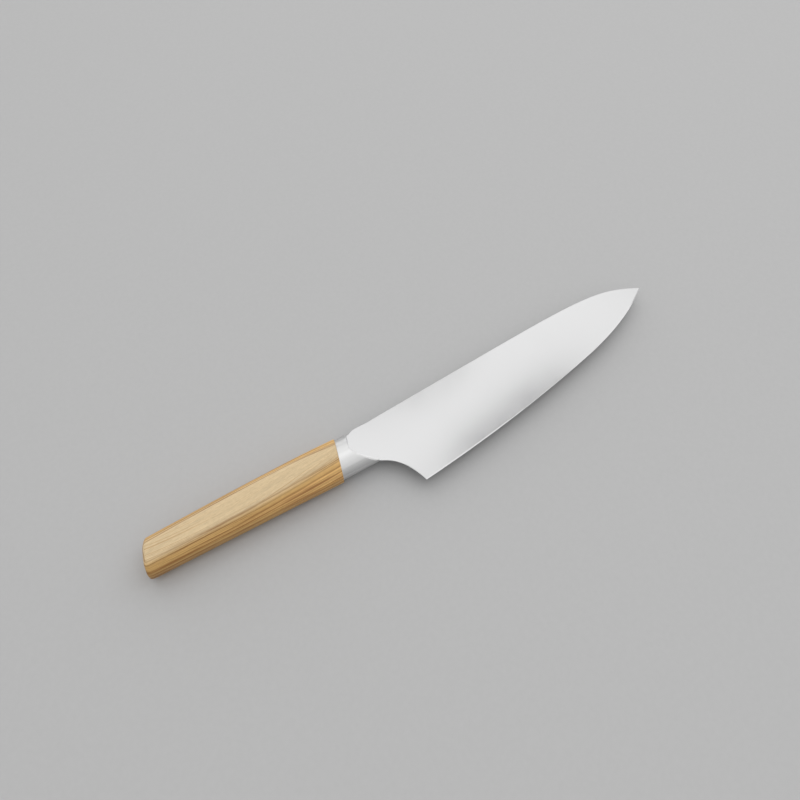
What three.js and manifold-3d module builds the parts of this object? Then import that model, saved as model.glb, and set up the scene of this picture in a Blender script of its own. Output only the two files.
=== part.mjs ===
// A gyuto, the Japanese chef's knife, lying on its left side. Millimetres, +Z up.
//
// Everything is drawn in the knife's own frame: X runs along the spine towards the tip, with zero at
// the heel, Y runs across the blade with zero on the spine, and Z runs through the blade with zero at
// mid-thickness. The last lines put the origin in the middle of the underside of the whole knife.
import * as THREE from 'three';
import Module from 'manifold-3d';

const wasm = await Module();
wasm.setup();

// Clearance between neighbouring pieces
const GAP = 0.3;

// Blade outline, as [x, y]. A pull is a control point that bends the stretch it belongs to.
const HEEL = [0, -44.9];
const FLAT_PULL = [60, -43.1];
const BELLY_START = [120, -33.4];
const BELLY_PULL = [155.2, -27.4];
const TIP = [178, -13.75];
const SPINE_PULLS = [[158.7, -2], [149, 0]];
const SPINE_FRONT = [80, 0];
const SPINE_REAR = [-5, 0];
const NECK_CREST = [-15, 0.48];
const NECK_SWELL = 4;
const NECK_TOP = [-20.9, -0.9];
const NECK_DROP = 2.4;
const CHOIL_TOP = [-14.8, -22.1];
const CHOIL_PULLS = [[-10.2, -25.3], [-3.8, -27.1]];
const CURVE_STEPS = 20;

// Blade section: flat flanks that thin towards the edge and the tip, a narrow edge bevel, an eased back
const SPINE_HALF = 0.95;
const FLANK_TAPER = 0.0172;
const DISTAL_TAPER = 0.0022;
const BEVEL_WIDTH = 0.7;
const EDGE_HALF = 0.05;
const EASED_RIM = 0.3;
const RIM_LIP = 0.7;
const MITRE_LIMIT = 0.4;

// Tang: its shoulders sit inside the bolster, and the stick runs down the handle's axis
const AXIS_AT_HEEL = -13.15;
const AXIS_RISE = -0.066;
const SHOULDER = { inset: 2.4, topRun: 0.6, bottomRun: 2, reach: -27, slope: 2 };
const TANG = { root: -29, ease: 3, end: -104, halfRoot: 6.2, halfEnd: 3.4 };

// Octagonal handle: Y of its four long lines at five stations, and Z of its facets
const STATIONS = [-31.4, -45, -60, -95, -135.2];
const TOP_LINE = [0.2, 1.4, 2.4, 4.0, 5.3];
const UPPER_RIDGE = [-5.6, -4.0, -2.7, -1.1, -0.2];
const LOWER_RIDGE = [-12.0, -12.2, -12.2, -11.0, -9.2];
const BOTTOM_LINE = [-21.8, -20.8, -19.6, -16.9, -13.8];
const HANDLE_HALF = 8.1;
const TOP_FACET_HALF = 3.2;
const BOTTOM_FACET_HALF = 2.8;
const RIDGE_EASE = 0.9;
const EASE_STEPS = 2;
const HANDLE_STEPS = 12;
const END_SLANT = Math.tan(THREE.MathUtils.degToRad(18.5));
const FRONT_CHAMFER = 0.35;

// Butt of the handle: the arc of its rounded rim in degrees, then the rings of its crown as [inset, rise]
const BUTT_ROUND = 2.0;
const BUTT_ARC = [0, 30, 60, 85];
const BUTT_CROWN = [[4, 0.25], [6, 0.5]];

// Bolster: the handle's front section carried forward a little smaller, then scooped out to the blade.
// The foot gives, at a height above mid-thickness, how far the scooped face stands forward of its curve.
const BOLSTER_STEP = 0.8;
const BOLSTER_FRONT = -8;
const SCOOP = [[-19.5, 3], [-24.9, -14.1], [-28.7, -8.3], [-11.4, -27]];
const SCOOP_STEPS = 36;
const SCOOP_FOOT = [[0.9, 1.5], [1.4, 0.75], [2.2, 0.25], [3.4, 0], [9, -0.45]];
const SCOOP_CLEAR = { x: 4, top: 6, bottom: -32 };

// Cured adhesive that fills the bore round the tang
const BOND_WALL = 1.1;
const BOND_END = 2.5;
const BOND_RECESS = 0.6;
const BORE_MOUTH = 3;

// Finishes
const steel = { color: 0xd9dade, roughness: 0.28, metalness: 1 };
const polished = { color: 0xe2e3e4, roughness: 0.16, metalness: 1 };
const wood = { color: 0xc9a878, roughness: 0.5, metalness: 0 };
const resin = { color: 0xb9a06a, roughness: 0.6, metalness: 0 };

const flankHalf = ({ x, y }) => SPINE_HALF - DISTAL_TAPER * x + FLANK_TAPER * y;
const axisAt = (x) => AXIS_AT_HEEL + AXIS_RISE * x;

// A closed solid from rings of points that match one to one, each ring counter-clockwise seen from
// the last one, with its two ends closed by flat caps.
function loft(rings) {
  const count = rings[0].length;
  const positions = rings.flat().flatMap((p) => [p.x, p.y, p.z]);
  const index = [];
  for (let r = 0; r + 1 < rings.length; r += 1) {
    for (let i = 0; i < count; i += 1) {
      const a = r * count + i;
      const b = r * count + ((i + 1) % count);
      index.push(a, b, b + count, a, b + count, a + count);
    }
  }
  const last = (rings.length - 1) * count;
  for (const [a, b, c] of capTriangles(rings[0])) index.push(a, c, b);
  for (const [a, b, c] of capTriangles(rings[rings.length - 1])) index.push(last + a, last + b, last + c);
  const geometry = new THREE.BufferGeometry();
  geometry.setAttribute('position', new THREE.Float32BufferAttribute(positions, 3));
  geometry.setIndex(index);
  return geometry;
}

// Triangles over one ring, found in the plane that the ring fills best.
function capTriangles(ring) {
  const normal = new THREE.Vector3();
  ring.forEach((p, i) => normal.add(p.clone().cross(ring[(i + 1) % ring.length])));
  const flat = Math.abs(normal.z) > Math.abs(normal.x)
    ? ring.map((p) => new THREE.Vector2(p.x, p.y))
    : ring.map((p) => new THREE.Vector2(p.y, p.z));
  return THREE.ShapeUtils.triangulateShape(flat, []);
}

// A closed outline moved inwards by each point's distance and mitred at its corners. Negative moves it out.
function offsetLoop(loop, distance) {
  return loop.map((p, i) => {
    const before = loop[(i + loop.length - 1) % loop.length];
    const after = loop[(i + 1) % loop.length];
    const n1 = new THREE.Vector2(before.y - p.y, p.x - before.x).normalize();
    const n2 = new THREE.Vector2(p.y - after.y, after.x - p.x).normalize();
    const mitre = distance(p) / Math.max(1 + n1.dot(n2), MITRE_LIMIT);
    return n1.add(n2).multiplyScalar(mitre).add(p);
  });
}

// A sheet between its two flanks: the outer loop stands at the lip height, the inner one on the flank.
function sheet(outer, inner, lip, flank) {
  const at = (loop, height, side) => loop.map((p) => new THREE.Vector3(p.x, p.y, side * height(p)));
  return loft([at(inner, flank, -1), at(outer, lip, -1), at(outer, lip, 1), at(inner, flank, 1)]);
}

// Solids for the boolean cuts, and the way back
function solid(geometry) {
  const vertProperties = geometry.attributes.position.array;
  const triVerts = new Uint32Array(geometry.index.array);
  return new wasm.Manifold(new wasm.Mesh({ numProp: 3, vertProperties, triVerts }));
}

function geometryOf(manifold) {
  const { vertProperties, triVerts } = manifold.getMesh();
  const geometry = new THREE.BufferGeometry();
  geometry.setAttribute('position', new THREE.BufferAttribute(vertProperties, 3));
  geometry.setIndex(new THREE.BufferAttribute(triVerts, 1));
  return geometry;
}

// The cutting edge from heel to tip: a long flat stretch and a rounder belly.
function edgePath() {
  return new THREE.Path()
    .moveTo(...HEEL)
    .quadraticCurveTo(...FLAT_PULL, ...BELLY_START)
    .quadraticCurveTo(...BELLY_PULL, ...TIP);
}

// From the tip along the spine to the neck, into the tang and back out to the heel.
function backPath() {
  const { inset, topRun, bottomRun, reach, slope } = SHOULDER;
  const { root, ease, end, halfRoot, halfEnd } = TANG;
  const stick = root - ease;
  return new THREE.Path()
    .moveTo(...TIP)
    .bezierCurveTo(...SPINE_PULLS.flat(), ...SPINE_FRONT)
    .lineTo(...SPINE_REAR)
    .bezierCurveTo(SPINE_REAR[0] - NECK_SWELL, SPINE_REAR[1],
      NECK_CREST[0] + NECK_SWELL, NECK_CREST[1], ...NECK_CREST)
    .bezierCurveTo(NECK_CREST[0] - NECK_DROP, NECK_CREST[1],
      NECK_TOP[0] + NECK_DROP, NECK_TOP[1], ...NECK_TOP)
    .lineTo(NECK_TOP[0] - topRun, NECK_TOP[1] - inset)
    .lineTo(reach, NECK_TOP[1] - inset)
    .quadraticCurveTo(root, axisAt(root) + halfRoot, stick, axisAt(stick) + halfRoot)
    .lineTo(end, axisAt(end) + halfEnd)
    .quadraticCurveTo(end - halfEnd, axisAt(end), end, axisAt(end) - halfEnd)
    .lineTo(stick, axisAt(stick) - halfRoot)
    .quadraticCurveTo(root, axisAt(root) - halfRoot, reach, CHOIL_TOP[1] + inset + slope)
    .lineTo(CHOIL_TOP[0] - bottomRun, CHOIL_TOP[1] + inset)
    .lineTo(...CHOIL_TOP)
    .bezierCurveTo(...CHOIL_PULLS.flat(), ...HEEL);
}

const edge = edgePath().getPoints(CURVE_STEPS);
const back = backPath().getPoints(CURVE_STEPS).slice(1, -1);
const blankLoop = [...edge, ...back];
const isEdge = new Set(edge);

function bladeGeometry() {
  const inner = offsetLoop(blankLoop, (p) => (isEdge.has(p) ? BEVEL_WIDTH : EASED_RIM));
  const lip = (p) => (isEdge.has(p) ? EDGE_HALF : RIM_LIP * flankHalf(p));
  return sheet(blankLoop, inner, lip, flankHalf);
}

// The blank with its clearance all round, which cuts the slots that it passes through.
function grownBlank() {
  const outer = offsetLoop(blankLoop, () => -GAP);
  const grown = (p) => flankHalf(p) + GAP;
  return solid(sheet(outer, offsetLoop(outer, () => GAP / 2), grown, grown));
}

// One section of the handle as an eased octagon, drawn in a plane that leans with the ends.
// Lines are the Y values of its top, upper ridge, lower ridge and bottom.
function octagon(x, [top, upper, lower, bottom]) {
  const corners = [
    [top, TOP_FACET_HALF], [upper, HANDLE_HALF], [lower, HANDLE_HALF], [bottom, BOTTOM_FACET_HALF],
    [bottom, -BOTTOM_FACET_HALF], [lower, -HANDLE_HALF], [upper, -HANDLE_HALF], [top, -TOP_FACET_HALF],
  ].map(([y, z]) => new THREE.Vector2(y, z));
  const towards = (corner, other) => other.clone().sub(corner).setLength(RIDGE_EASE).add(corner);
  const middle = axisAt(x);
  return corners.flatMap((corner, i) => {
    const before = towards(corner, corners[(i + corners.length - 1) % corners.length]);
    const after = towards(corner, corners[(i + 1) % corners.length]);
    return new THREE.QuadraticBezierCurve(before, corner, after).getPoints(EASE_STEPS);
  }).map(({ x: y, y: z }) => new THREE.Vector3(x + END_SLANT * (y - middle), y, z));
}

// A section drawn in towards its own middle and moved along the knife.
function shrunk(ring, inset, advance) {
  const middle = ring.reduce((sum, p) => sum.add(p), new THREE.Vector3()).divideScalar(ring.length);
  return ring.map((p) => {
    const arm = p.clone().sub(middle);
    return arm.setLength(arm.length() - inset).add(middle).add(new THREE.Vector3(advance, 0, 0));
  });
}

// The handle's section at a share of its length, from 0 at the front to 1 at the butt.
function handleSection(share) {
  const lines = [TOP_LINE, UPPER_RIDGE, LOWER_RIDGE, BOTTOM_LINE].map((ys) => {
    const points = ys.map((y, i) => new THREE.Vector2(STATIONS[i], y));
    return new THREE.SplineCurve(points).getPoint(share);
  });
  return octagon(lines[0].x, lines.map((p) => p.y));
}

function handleBlock() {
  const front = handleSection(0);
  const rings = [shrunk(front, FRONT_CHAMFER, 0), shrunk(front, 0, -FRONT_CHAMFER)];
  for (let i = 1; i < HANDLE_STEPS; i += 1) rings.push(handleSection(i / HANDLE_STEPS));
  const butt = handleSection(1);
  for (const angle of BUTT_ARC.map(THREE.MathUtils.degToRad)) {
    rings.push(shrunk(butt, BUTT_ROUND * (1 - Math.cos(angle)), BUTT_ROUND * (1 - Math.sin(angle))));
  }
  for (const [inset, rise] of BUTT_CROWN) rings.push(shrunk(butt, inset, -rise));
  return loft(rings.reverse());
}

// The bore's filling, from just behind the handle's front to just past the tang's end.
// Grow widens it for the bore that it sits in, and start is where its front crosses the axis.
function bondBlock(grow, start) {
  const wall = GAP + BOND_WALL + grow;
  const rear = TANG.end - BOND_END - wall;
  const corner = (x, half) => new THREE.Vector2(x + END_SLANT * half, axisAt(x) + half);
  const loop = [
    corner(start, -TANG.halfRoot - wall),
    corner(start, TANG.halfRoot + wall),
    corner(rear, TANG.halfEnd + wall),
    corner(rear, -TANG.halfEnd - wall),
  ];
  const half = (p) => flankHalf(p) + wall;
  return solid(sheet(loop, offsetLoop(loop, () => GAP / 2), (p) => half(p) - GAP / 2, half));
}

// Everything in front of the bolster's scooped face. Near the blade the face runs out in a foot.
function scoopCutter() {
  const curve = new THREE.CubicBezierCurve(...SCOOP.map(([x, y]) => new THREE.Vector2(x, y)));
  const levels = [...SCOOP_FOOT].reverse().map(([z, foot]) => [-z, foot]).concat(SCOOP_FOOT);
  const rings = levels.map(([z, foot]) => {
    const face = curve.getPoints(SCOOP_STEPS).map((p, i) => {
      const along = curve.getTangent(i / SCOOP_STEPS);
      return new THREE.Vector3(p.x - along.y * foot, p.y + along.x * foot, z);
    });
    const clear = [[SCOOP_CLEAR.x, SCOOP_CLEAR.bottom], [SCOOP_CLEAR.x, SCOOP_CLEAR.top]];
    return [...face, ...clear.map(([x, y]) => new THREE.Vector3(x, y, z))];
  });
  return solid(loft(rings));
}

function bolsterGeometry() {
  const lines = [TOP_LINE, UPPER_RIDGE, LOWER_RIDGE, BOTTOM_LINE].map((line) => line[0]);
  const section = (x) => {
    const drift = AXIS_RISE * (x - STATIONS[0]);
    return shrunk(octagon(x, lines.map((y) => y + drift)), BOLSTER_STEP, 0);
  };
  const body = solid(loft([section(STATIONS[0] + GAP), section(BOLSTER_FRONT)]));
  return geometryOf(body.subtract(scoopCutter()).subtract(grownBlank()));
}

// The assembly
const knife = new THREE.Group();

function addPiece(name, geometry, finish) {
  const mesh = new THREE.Mesh(geometry, new THREE.MeshStandardMaterial(finish));
  mesh.name = name;
  knife.add(mesh);
}

const bond = bondBlock(0, STATIONS[0] - BOND_RECESS).subtract(grownBlank());
const handle = solid(handleBlock()).subtract(bondBlock(GAP, STATIONS[0] + BORE_MOUTH));

addPiece('blade', bladeGeometry(), steel);
addPiece('bolster', bolsterGeometry(), polished);
addPiece('handle', geometryOf(handle), wood);
addPiece('tang_bond', geometryOf(bond), resin);

const box = new THREE.Box3().setFromObject(knife);
const middle = box.getCenter(new THREE.Vector3());
knife.children.forEach((piece) => piece.position.set(-middle.x, -middle.y, -box.min.z));

export default knife;
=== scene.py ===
"""A gyuto, the Japanese chef's knife, dressed for its portrait.

The shapes are drawn in millimetres in the knife's own frame: X runs along the spine towards the tip
with zero at the heel, Y runs across the blade with zero on the spine, and Z runs through the blade with
zero at mid-thickness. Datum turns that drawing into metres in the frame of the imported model.
"""

import logging
import math
from collections.abc import Iterable, Sequence
from dataclasses import dataclass
from enum import Enum
from typing import ClassVar

import bmesh
import bpy
from mathutils import Matrix, Vector
from mathutils.geometry import interpolate_bezier


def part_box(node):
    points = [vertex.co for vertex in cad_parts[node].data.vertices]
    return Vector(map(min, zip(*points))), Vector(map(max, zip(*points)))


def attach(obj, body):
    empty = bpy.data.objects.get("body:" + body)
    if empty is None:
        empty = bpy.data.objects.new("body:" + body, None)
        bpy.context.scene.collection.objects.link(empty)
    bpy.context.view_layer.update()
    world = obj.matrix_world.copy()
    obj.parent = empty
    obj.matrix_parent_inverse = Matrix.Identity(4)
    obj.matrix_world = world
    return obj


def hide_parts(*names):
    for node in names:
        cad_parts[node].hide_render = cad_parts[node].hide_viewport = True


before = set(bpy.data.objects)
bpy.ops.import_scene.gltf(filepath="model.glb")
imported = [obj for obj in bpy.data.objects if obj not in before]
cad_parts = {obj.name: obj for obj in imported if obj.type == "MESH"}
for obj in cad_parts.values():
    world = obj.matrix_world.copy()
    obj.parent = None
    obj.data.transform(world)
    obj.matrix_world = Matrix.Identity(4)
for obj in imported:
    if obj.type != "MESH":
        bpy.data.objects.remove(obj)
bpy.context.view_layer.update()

LOG = logging.getLogger("gyuto")
BODY = "root"
MM = 0.001

Point = tuple[float, float]
Triple = tuple[float, float, float]
Colour = tuple[float, float, float, float]
Socket = bpy.types.NodeSocket
Axes = bpy.types.bpy_prop_collection
Feed = Socket | float | Sequence[float]


class Shade(Enum):
    """Angle above which the edge between two faces stays crisp."""

    SOFT = math.radians(40)
    CRISP = math.radians(8)


class Lay(Enum):
    """Which way fine brush lines run on a steel surface, as a stretch of the pattern in X, Y and Z."""

    ACROSS = (7.0, 0.06, 7.0)
    ALONG = (0.08, 6.0, 6.0)


# Drawing helpers


def bezier(points: Sequence[Point], steps: int) -> list[Vector]:
    """Walks along a Bezier curve that lies in the plane of the blade.

    Args:
        points: Three points of a quadratic curve or four of a cubic one.
        steps: Number of pieces that the curve is cut into.

    Returns:
        The points along the curve, with both ends.
    """
    knots = [Vector((x, y, 0.0)) for x, y in points]
    if len(knots) == 3:
        start, pull, end = knots
        knots = [start, start.lerp(pull, 2 / 3), end.lerp(pull, 2 / 3), end]
    return interpolate_bezier(*knots, steps + 1)


def spline(values: Sequence[float], share: float) -> float:
    """Reads a smooth curve that passes through evenly counted values.

    Args:
        values: The values that the curve passes through.
        share: How far along the curve, from 0 to 1.

    Returns:
        The value there.
    """
    place = share * (len(values) - 1)
    i = min(int(place), len(values) - 2)
    t = place - i
    before, start, end, after = (values[min(max(k, 0), len(values) - 1)] for k in range(i - 1, i + 3))
    leave, arrive = (end - before) / 2, (after - start) / 2
    cubic = 2 * start - 2 * end + leave + arrive
    square = -3 * start + 3 * end - 2 * leave - arrive
    return ((cubic * t + square) * t + leave) * t + start


def shares(count: int) -> list[float]:
    """Evenly spread numbers from 0 to 1."""
    return [i / (count - 1) for i in range(count)]


def smooth(share: float) -> float:
    """Keeps a share between 0 and 1 and eases it at both ends."""
    kept = min(max(share, 0.0), 1.0)
    return kept * kept * (3 - 2 * kept)


class Sweep:
    """A skin that grows row by row: each row is the last one extruded and moved to its own places."""

    def __init__(self, bm: bmesh.types.BMesh, places: Iterable[Vector], closed: bool) -> None:
        """Lays the first row.

        Args:
            bm: The mesh that the skin belongs to.
            places: Where the points of the row go.
            closed: Whether the row comes back to its first point.
        """
        self.bm = bm
        self.row = [bm.verts.new(place) for place in places]
        following = self.row[1:] + (self.row[:1] if closed else [])
        self.edges = [bm.edges.new(pair) for pair in zip(self.row, following)]

    def extend(self, places: Iterable[Vector]) -> None:
        """Adds one row of faces.

        Args:
            places: Where the points of the new row go, in the order of the first row.
        """
        made = bmesh.ops.extrude_edge_only(self.bm, edges=self.edges)["geom"]
        fresh = {item for item in made if isinstance(item, bmesh.types.BMVert)}
        self.row = [self._above(vert, fresh) for vert in self.row]
        for vert, place in zip(self.row, places):
            vert.co = place
        self.edges = [
            item for item in made if isinstance(item, bmesh.types.BMEdge) and fresh.issuperset(item.verts)
        ]

    @staticmethod
    def _above(vert: bmesh.types.BMVert, fresh: set[bmesh.types.BMVert]) -> bmesh.types.BMVert:
        """The new point that was extruded from an old one."""
        return next(e.other_vert(vert) for e in vert.link_edges if e.other_vert(vert) in fresh)


@dataclass(frozen=True)
class Datum:
    """Where the knife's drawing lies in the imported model."""

    heel: Vector
    MERGE: ClassVar[float] = 1e-4
    FLATNESS: ClassVar[int] = 80

    @classmethod
    def from_frame(cls, tip_x: float, heel_y: float) -> "Datum":
        """Finds the drawing's zero from the box of the blade's solid.

        Args:
            tip_x: X of the tip in the drawing.
            heel_y: Y of the heel in the drawing.

        Returns:
            The datum.
        """
        low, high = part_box("blade")
        return cls(Vector((high.x - tip_x * MM, low.y - heel_y * MM, (low.z + high.z) / 2)))

    @property
    def matrix(self) -> Matrix:
        """Turns millimetres of the drawing into metres of the frame."""
        return Matrix.Translation(self.heel) @ Matrix.Scale(MM, 4)

    def place(self, bm: bmesh.types.BMesh, name: str, shade: Shade) -> bpy.types.Object:
        """Closes a drawn mesh and puts it into the scene as a piece.

        Args:
            bm: The drawn mesh, which is used up.
            name: Name of the piece.
            shade: How crisp its edges look.

        Returns:
            The new object, at the origin, with its place in its mesh.
        """
        bmesh.ops.remove_doubles(bm, verts=bm.verts, dist=self.MERGE)
        bmesh.ops.dissolve_degenerate(bm, edges=bm.edges, dist=self.MERGE)
        bmesh.ops.recalc_face_normals(bm, faces=bm.faces)
        bmesh.ops.transform(bm, matrix=self.matrix, verts=bm.verts)
        for face in bm.faces:
            face.smooth = True
        mesh = bpy.data.meshes.new(name)
        bm.to_mesh(mesh)
        bm.free()
        mesh.set_sharp_from_angle(angle=shade.value)
        piece = bpy.data.objects.new(name, mesh)
        bpy.context.scene.collection.objects.link(piece)
        flat = piece.modifiers.new("flat_facets", "WEIGHTED_NORMAL")
        flat.keep_sharp = True
        flat.weight = self.FLATNESS
        return piece


# Shader helpers


class Graph:
    """A shader tree with short calls for its nodes. Most calls return the socket that they make."""

    def __init__(self, tree: bpy.types.NodeTree) -> None:
        """Takes the tree that the nodes go into."""
        self.tree = tree

    def feed(self, node: bpy.types.Node, feeds: dict[str | int, Feed]) -> None:
        """Gives a node its inputs.

        Args:
            node: The node.
            feeds: What its inputs get, by name or number: a socket to link or a value to hold.
        """
        for key, value in feeds.items():
            if isinstance(value, Socket):
                self.tree.links.new(value, node.inputs[key])
            else:
                node.inputs[key].default_value = value

    def node(self, kind: str, feeds: dict[str | int, Feed], **settings: object) -> bpy.types.Node:
        """Adds one node.

        Args:
            kind: Type of the node, without its prefix.
            feeds: What its inputs get, by name or number.
            **settings: Further properties of the node.

        Returns:
            The node.
        """
        made = self.tree.nodes.new("ShaderNode" + kind)
        for key, value in settings.items():
            setattr(made, key, value)
        self.feed(made, feeds)
        return made

    def math(self, operation: str, *values: Feed) -> Socket:
        """Works out one number from others."""
        return self.node("Math", dict(enumerate(values)), operation=operation).outputs[0]

    def noise(self, place: Feed, scale: float, detail: float, roughness: float = 0.5) -> Socket:
        """Smooth noise from 0 to 1 at a place, with finer noise on top."""
        feeds = {"Vector": place, "Scale": scale, "Detail": detail, "Roughness": roughness}
        return self.node("TexNoise", feeds).outputs["Fac"]

    def chance(self, number: Feed) -> Socket:
        """A number from 0 to 1 that differs from one whole number to the next."""
        return self.node("TexWhiteNoise", {"W": number}, noise_dimensions="1D").outputs["Value"]

    def stretched(self, place: Feed, stretch: Triple, shift: Triple) -> Socket:
        """A place with each axis stretched by its own amount, then shifted."""
        return self.node("Mapping", {"Vector": place, "Scale": stretch, "Location": shift}).outputs[0]

    def between(self, value: Feed, low: float, high: float, start: Feed = 0.0, end: Feed = 1.0) -> Socket:
        """A number that goes smoothly from start to end as a value goes from low to high."""
        feeds = {"Value": value, 1: low, 2: high, 3: start, 4: end}
        return self.node("MapRange", feeds, interpolation_type="SMOOTHSTEP").outputs[0]

    def blend(self, share: Feed, first: Feed, second: Feed) -> Socket:
        """A colour between two."""
        return self.node("Mix", {0: share, 6: first, 7: second}, data_type="RGBA").outputs[2]

    def bump(self, height: Feed, strength: float, depth: float) -> Socket:
        """A normal that follows a height."""
        return self.node("Bump", {"Height": height, "Strength": strength, "Distance": depth}).outputs[0]


@dataclass(frozen=True)
class Grain:
    """Noise that is drawn out by its own amount along each axis."""

    stretch: Triple
    shift: Triple = (0.0, 0.0, 0.0)
    detail: float = 2.0
    roughness: float = 0.5

    def noise(self, graph: Graph, place: Feed) -> Socket:
        """The noise at a place, from 0 to 1."""
        drawn_out = graph.stretched(place, self.stretch, self.shift)
        return graph.noise(drawn_out, 1.0, self.detail, self.roughness)


class SteelMarks:
    """Shader group with the fine marks of ground and handled steel, used by every steel surface.

    The shares say how much of the lines and of the smudges goes into an output.
    """

    NAME: ClassVar[str] = "steel_marks"
    LINE_DETAIL: ClassVar[float] = 3.0
    SCRATCH: ClassVar[Grain] = Grain((0.35, 0.5, 0.35), (17.0, 5.0, 3.0), detail=1.0)
    SCRATCH_RANGE: ClassVar[Point] = (0.68, 0.78)
    SCRATCH_DEPTH: ClassVar[float] = 0.6
    SMUDGE_SCALE: ClassVar[float] = 0.045
    SMUDGE_DETAIL: ClassVar[float] = 3.0
    TONE_SHARES: ClassVar[Point] = (0.5, 0.5)
    ROUGH_SHARES: ClassVar[Point] = (0.4, 0.6)

    @classmethod
    def group(cls) -> bpy.types.NodeTree:
        """The group, built on its first use."""
        return bpy.data.node_groups.get(cls.NAME) or cls._build()

    @classmethod
    def _build(cls) -> bpy.types.NodeTree:
        """Builds brush lines, a few longer scratches and handling smudges.

        Returns:
            The group.
        """
        tree = bpy.data.node_groups.new(cls.NAME, "ShaderNodeTree")
        for name in ("Place", "Lines"):
            tree.interface.new_socket(name, in_out="INPUT", socket_type="NodeSocketVector")
        for name in ("Tone", "Roughness", "Height"):
            tree.interface.new_socket(name, in_out="OUTPUT", socket_type="NodeSocketFloat")
        graph = Graph(tree)
        entry = tree.nodes.new("NodeGroupInput").outputs
        factors = {0: entry["Place"], 1: entry["Lines"]}
        brushed = graph.node("VectorMath", factors, operation="MULTIPLY").outputs[0]
        lines = graph.noise(brushed, 1.0, cls.LINE_DETAIL)
        scratch = graph.between(cls.SCRATCH.noise(graph, brushed), *cls.SCRATCH_RANGE)
        smudge = graph.noise(entry["Place"], cls.SMUDGE_SCALE, cls.SMUDGE_DETAIL)

        def mixed(lined: float, smudged: float) -> Socket:
            """The lines and the smudges added up in given shares."""
            marked = graph.math("MULTIPLY", lines, lined)
            return graph.math("ADD", marked, graph.math("MULTIPLY", smudge, smudged))

        feeds = {
            "Tone": mixed(*cls.TONE_SHARES),
            "Roughness": mixed(*cls.ROUGH_SHARES),
            "Height": graph.math("SUBTRACT", lines, graph.math("MULTIPLY", scratch, cls.SCRATCH_DEPTH)),
        }
        graph.feed(tree.nodes.new("NodeGroupOutput"), feeds)
        return tree


# Finishes


class Finish:
    """A procedural finish. Each kind has a name and says what the sockets of its shader get."""

    name: str

    def sockets(self, graph: Graph, drawn: Socket) -> dict[str, Feed]:
        """Works out what the sockets of the shader get.

        Args:
            graph: The material's graph.
            drawn: The place on the surface in the drawing's millimetres.

        Returns:
            A socket to link or a value to hold, by the name of the shader's socket.
        """
        raise NotImplementedError

    def material(self, datum: Datum) -> bpy.types.Material:
        """Builds the finish on a Principled shader.

        Args:
            datum: The drawing's zero, so that patterns are written in its millimetres.

        Returns:
            The material.
        """
        material = bpy.data.materials.new(self.name)
        material.use_nodes = True
        graph = Graph(material.node_tree)
        here = graph.node("TexCoord", {}).outputs["Object"]
        scale = 1 / MM
        drawn = graph.stretched(here, (scale,) * 3, tuple(-c * scale for c in datum.heel))
        graph.feed(material.node_tree.nodes["Principled BSDF"], self.sockets(graph, drawn))
        return material


@dataclass(frozen=True)
class Steel(Finish):
    """Ground stainless steel with brush lines."""

    name: str
    dark: Colour
    light: Colour
    smooth: float
    rough: float
    lay: Lay
    line_depth: float
    line_strength: float = 0.25
    tone_range: Point = (0.3, 0.7)
    rough_range: Point = (0.25, 0.75)

    def sockets(self, graph: Graph, drawn: Socket) -> dict[str, Feed]:
        """Lays the marks over two close greys.

        Args:
            graph: The material's graph.
            drawn: The place on the surface in the drawing's millimetres.

        Returns:
            What each socket of the shader gets.
        """
        feeds = {"Place": drawn, "Lines": self.lay.value}
        marks = graph.node("Group", feeds, node_tree=SteelMarks.group()).outputs
        tone = graph.between(marks["Tone"], *self.tone_range)
        return {
            "Base Color": graph.blend(tone, self.dark, self.light),
            "Metallic": 1.0,
            "Roughness": graph.between(marks["Roughness"], *self.rough_range, self.smooth, self.rough),
            "Normal": graph.bump(marks["Height"], self.line_strength, self.line_depth),
        }


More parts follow.
